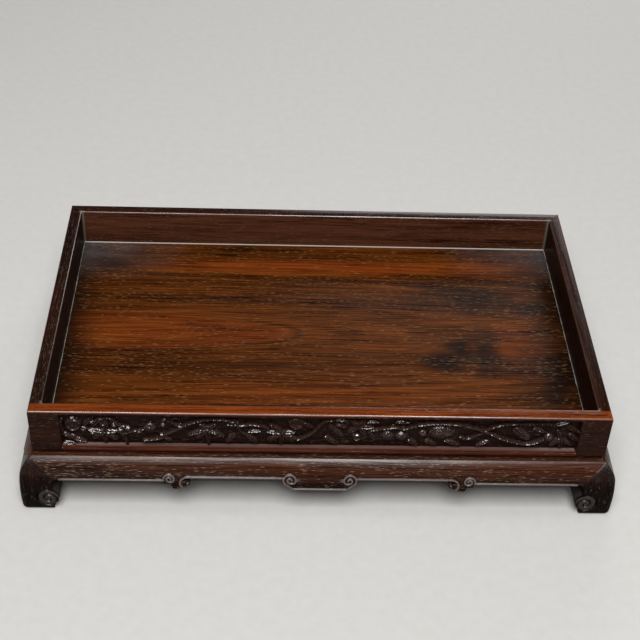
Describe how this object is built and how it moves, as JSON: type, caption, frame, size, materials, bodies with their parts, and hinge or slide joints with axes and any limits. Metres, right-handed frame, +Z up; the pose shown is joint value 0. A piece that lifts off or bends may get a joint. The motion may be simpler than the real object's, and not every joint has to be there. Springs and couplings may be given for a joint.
{
  "type": "display stand",
  "caption": "Low rectangular hardwood stand: a shallow tray with mitred, carved walls, carried on swelling aprons with beaded, cusped edges and short bulging legs with scroll feet.",
  "frame": {"origin": "on the ground under the centre of the tray", "axes": "+X to the right along the tray's length, +Y from the front to the rear, +Z up"},
  "size_m": [0.4224, 0.2644, 0.086],
  "materials": {
    "tray_rosewood": "dark rosewood, planed, carved and waxed, semi-gloss",
    "floor_rosewood": "reddish-brown rosewood with a knot, planed and waxed",
    "batten_rosewood": "rosewood, planed and left unwaxed",
    "apron_rosewood": "dark rosewood, shaped and waxed, semi-gloss",
    "leg_rosewood": "dark rosewood, carved and waxed, semi-gloss",
    "bamboo": "split bamboo, shaved round"
  },
  "bodies": {
    "root": {"front_wall": "tray_rosewood", "rear_wall": "tray_rosewood", "left_wall": "tray_rosewood", "right_wall": "tray_rosewood", "floor_board": "floor_rosewood", "left_batten": "batten_rosewood", "right_batten": "batten_rosewood", "front_apron": "apron_rosewood", "rear_apron": "apron_rosewood", "left_apron": "apron_rosewood", "right_apron": "apron_rosewood", "front_left_leg": "leg_rosewood", "front_right_leg": "leg_rosewood", "rear_left_leg": "leg_rosewood", "rear_right_leg": "leg_rosewood", "bamboo_pins": "bamboo"}
  },
  "joints": []
}
